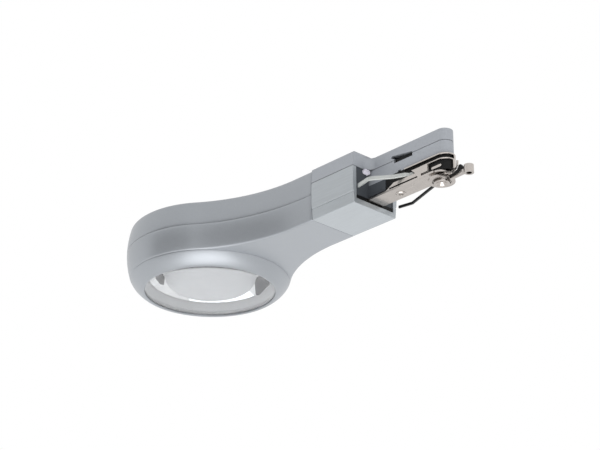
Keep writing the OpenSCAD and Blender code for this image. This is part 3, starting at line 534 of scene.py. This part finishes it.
def make_lens():
    """Clear disc whose slightly domed face stands into the opening, with small chamfers."""
    ball = (FACE_R ** 2 + LENS_DOME ** 2) / (2 * LENS_DOME)
    sweep = math.asin(FACE_R / ball)
    face = [(ball * math.sin(sweep * i / 17), ball * (1 - math.cos(sweep * i / 17)) + LENS_LOW)
            for i in range(17)]
    edge = [(FACE_R, face[-1][1] + 0.25), (FACE_R, LENS_FLANGE), (LENS_R - 0.2, LENS_FLANGE),
            (LENS_R, LENS_FLANGE + 0.2), (LENS_R, LENS_TOP - 0.2), (LENS_R - 0.2, LENS_TOP), (0, LENS_TOP)]
    mesh = revolve("lens_disc", face + edge, HEAD, 192, closed=False, sharp_deg=25)
    add_object("lens_disc", mesh, MATERIALS["clear_lens"], "lamp", "clear_lens", "lens")


def curve(start, middle, end, steps):
    """Points on a curve that leaves start towards middle and arrives at end."""
    out = []
    for i in range(steps + 1):
        t = i / steps
        out.append(tuple(start[k] * (1 - t) ** 2 + middle[k] * 2 * t * (1 - t) + end[k] * t ** 2
                         for k in (0, 1)))
    return out


def make_reflector():
    """Mirror bowl from the back of the lens up to the collar round the diffuser."""
    collar = PLUG_R + 0.1
    middle = (collar + SPACER_TOP_R) / 2
    inner = curve((collar, REFLECTOR_TOP - 2.0), (middle + 0.3, REFLECTOR_TOP - 3.8),
                  (SPACER_TOP_R, SPACER_TOP), 18)
    outer = curve((SPACER_TOP_R + 0.7, SPACER_TOP + 0.8), (middle + 1.3, REFLECTOR_TOP - 3.0),
                  (collar + 1.1, REFLECTOR_TOP - 1.5), 18)
    flange = [(LENS_R - 0.1, SPACER_TOP), (LENS_R, SPACER_TOP + 0.1), (LENS_R, SPACER_TOP + 0.7),
              (LENS_R - 0.1, SPACER_TOP + 0.8)]
    profile = inner + flange + outer + [(collar + 1.1, REFLECTOR_TOP), (collar, REFLECTOR_TOP)]
    mesh = revolve("reflector_bowl", profile, HEAD, 160, sharp_deg=35)
    add_object("reflector_bowl", mesh, MATERIALS["mirror_cone"], "lamp", "mirror_cone", "reflector")


def make_spacer():
    """Satin ring wall between the lens and the reflector."""
    low_r = OPENING_R - 0.2
    profile = [(low_r, LENS_TOP + 0.1), (SPACER_TOP_R, SPACER_TOP - 0.1), (SPACER_TOP_R + 0.1, SPACER_TOP),
               (LENS_R - 0.25, SPACER_TOP), (LENS_R - 0.25, LENS_TOP), (low_r + 0.1, LENS_TOP)]
    mesh = revolve("spacer_ring", profile, HEAD, 160, sharp_deg=35)
    add_object("spacer_ring", mesh, MATERIALS["opal"], "lamp", "opal", "lens_spacer")


def make_diffuser():
    """Satin plug with a softly rounded nose."""
    nose = curve((PLUG_R - 9.5, PLUG_LOW + 0.15), (PLUG_R - 1.2, PLUG_LOW + 0.5),
                 (PLUG_R - 0.6, PLUG_LOW + 5.5), 14)
    profile = [(0, PLUG_LOW), (4, PLUG_LOW + 0.02), (8, PLUG_LOW + 0.08)] + nose
    profile += [(PLUG_R, REFLECTOR_TOP - 1.2), (PLUG_R, REFLECTOR_TOP), (0, REFLECTOR_TOP)]
    mesh = revolve("diffuser_plug", profile, HEAD, 128, closed=False, sharp_deg=35)
    add_object("diffuser_plug", mesh, MATERIALS["opal"], "lamp", "opal", "diffuser")


# ---------- camera, light and floor ----------

CAMERA_AZIMUTH = math.radians(46.83)
CAMERA_RISE = math.radians(24.25)
AIM = Vector((-0.03305, -0.01041, -0.01010))
DISTANCE = 0.7687


def make_camera():
    forward = Vector((-math.sin(CAMERA_AZIMUTH) * math.cos(CAMERA_RISE),
                      math.cos(CAMERA_AZIMUTH) * math.cos(CAMERA_RISE), math.sin(CAMERA_RISE)))
    camera = bpy.data.objects.new("camera", bpy.data.cameras.new("camera"))
    bpy.context.scene.collection.objects.link(camera)
    camera.location = AIM - DISTANCE * forward
    camera.rotation_euler = forward.to_track_quat("-Z", "Y").to_euler()
    camera.data.lens = 112.5
    camera.data.sensor_width = 36
    camera.data.clip_start = 0.01
    bpy.context.scene.camera = camera


def area_light(name, direction, distance, size, power, glossy=False, through=True):
    light = bpy.data.lights.new(name, "AREA")
    light.shape = "SQUARE"
    light.size = size
    light.energy = power
    lamp = bpy.data.objects.new(name, light)
    bpy.context.scene.collection.objects.link(lamp)
    towards = Vector(direction).normalized()
    lamp.location = AIM + towards * distance
    lamp.rotation_euler = towards.to_track_quat("Z", "Y").to_euler()
    lamp.visible_camera = False
    lamp.visible_glossy = glossy
    lamp.visible_transmission = through


def dark_flag(name, direction, distance, width, height):
    """Upright dark card beside the set, which the camera doesn't see."""
    towards = Vector(direction).normalized()
    across = towards.cross(Vector((0, 0, 1))).normalized()
    up = across.cross(towards)
    middle = AIM + towards * distance
    bm = bmesh.new()
    corners = [bm.verts.new(middle + across * width / 2 * sx + up * height / 2 * sy)
               for sx, sy in ((-1, -1), (1, -1), (1, 1), (-1, 1))]
    bm.faces.new(corners)
    mesh = bpy.data.meshes.new(name)
    bm.to_mesh(mesh)
    bm.free()
    card = bpy.data.objects.new(name, mesh)
    bpy.context.scene.collection.objects.link(card)
    mesh.materials.append(surface(name, (60, 60, 62), 0.9, grain=60))
    card.visible_camera = False


def make_light():
    bpy.context.scene.view_settings.view_transform = "Standard"
    world = bpy.data.worlds.new("studio")
    world.use_nodes = True
    background = world.node_tree.nodes["Background"]
    background.inputs["Color"].default_value = (1, 1, 1, 1)
    background.inputs["Strength"].default_value = 1.0
    bpy.context.scene.world = world
    area_light("under_light", (-0.1, -0.3, -0.95), 1.1, 1.6, 8.5)
    area_light("sheen_light", (0.27, -0.34, -0.90), 0.8, 0.75, 3.6, True, False)
    dark_flag("side_flag", (-0.1, -1.0, 0.0), 0.7, 0.9, 0.5)


def make_floor():
    half = 3.0
    z = -1.6
    bm = bmesh.new()
    corners = [bm.verts.new((sx * half, sy * half, z)) for sx, sy in ((-1, -1), (1, -1), (1, 1), (-1, 1))]
    bm.faces.new(corners)
    mesh = bpy.data.meshes.new("floor")
    bm.to_mesh(mesh)
    bm.free()
    floor = bpy.data.objects.new("floor", mesh)
    bpy.context.scene.collection.objects.link(floor)
    mesh.materials.append(surface("floor_paint", (236, 236, 236), 0.8, grain=60))


dress_cad_nodes()
make_camera()
make_light()
make_floor()
make_shells()
make_bezel()
make_lens()
make_spacer()
make_reflector()
make_diffuser()
soften("profile_housing", MATERIALS["anodised"], 0.16)
soften("top_cap", MATERIALS["silver_plastic"], 0.22)
soften("tongue_base", MATERIALS["silver_plastic"], 0.12)
soften("insulating_insert", MATERIALS["grey_plastic"], 0.15)
for node_name in ("bracket", "end_clip", "latch_lever", "pivot_rivet", "front_rivet", "latch_washer",
                  "contact_pin_left", "contact_pin_right"):
    soften(node_name, MATERIALS["nickel"], 0.1)
soften("contact_left", MATERIALS["tin_plate"], 0.12)
soften("contact_right", MATERIALS["black_contact"], 0.12)
soften("locating_stud", MATERIALS["pale_plastic"], 0.2)
soften("terminal_leaf", MATERIALS["nickel"], 0.05)
# both webs get the dark colour, which is painted shade for the shaded web
soften("lens_webs", MATERIALS["web_plastic"], 0.12)
# near-black fillers in the latch's gaps and cavities: partly black insulating plastic, partly painted shade
# standing in for the shadow inside the clip and under the plates
for node_name in ("spacer_block", "clip_insulator", "latch_pad", "pole_carrier", "base_liner"):
    soften(node_name, MATERIALS["black_plastic"], 0.08)
soften("shell_screws", MATERIALS["zinc_screw"], 0.08)
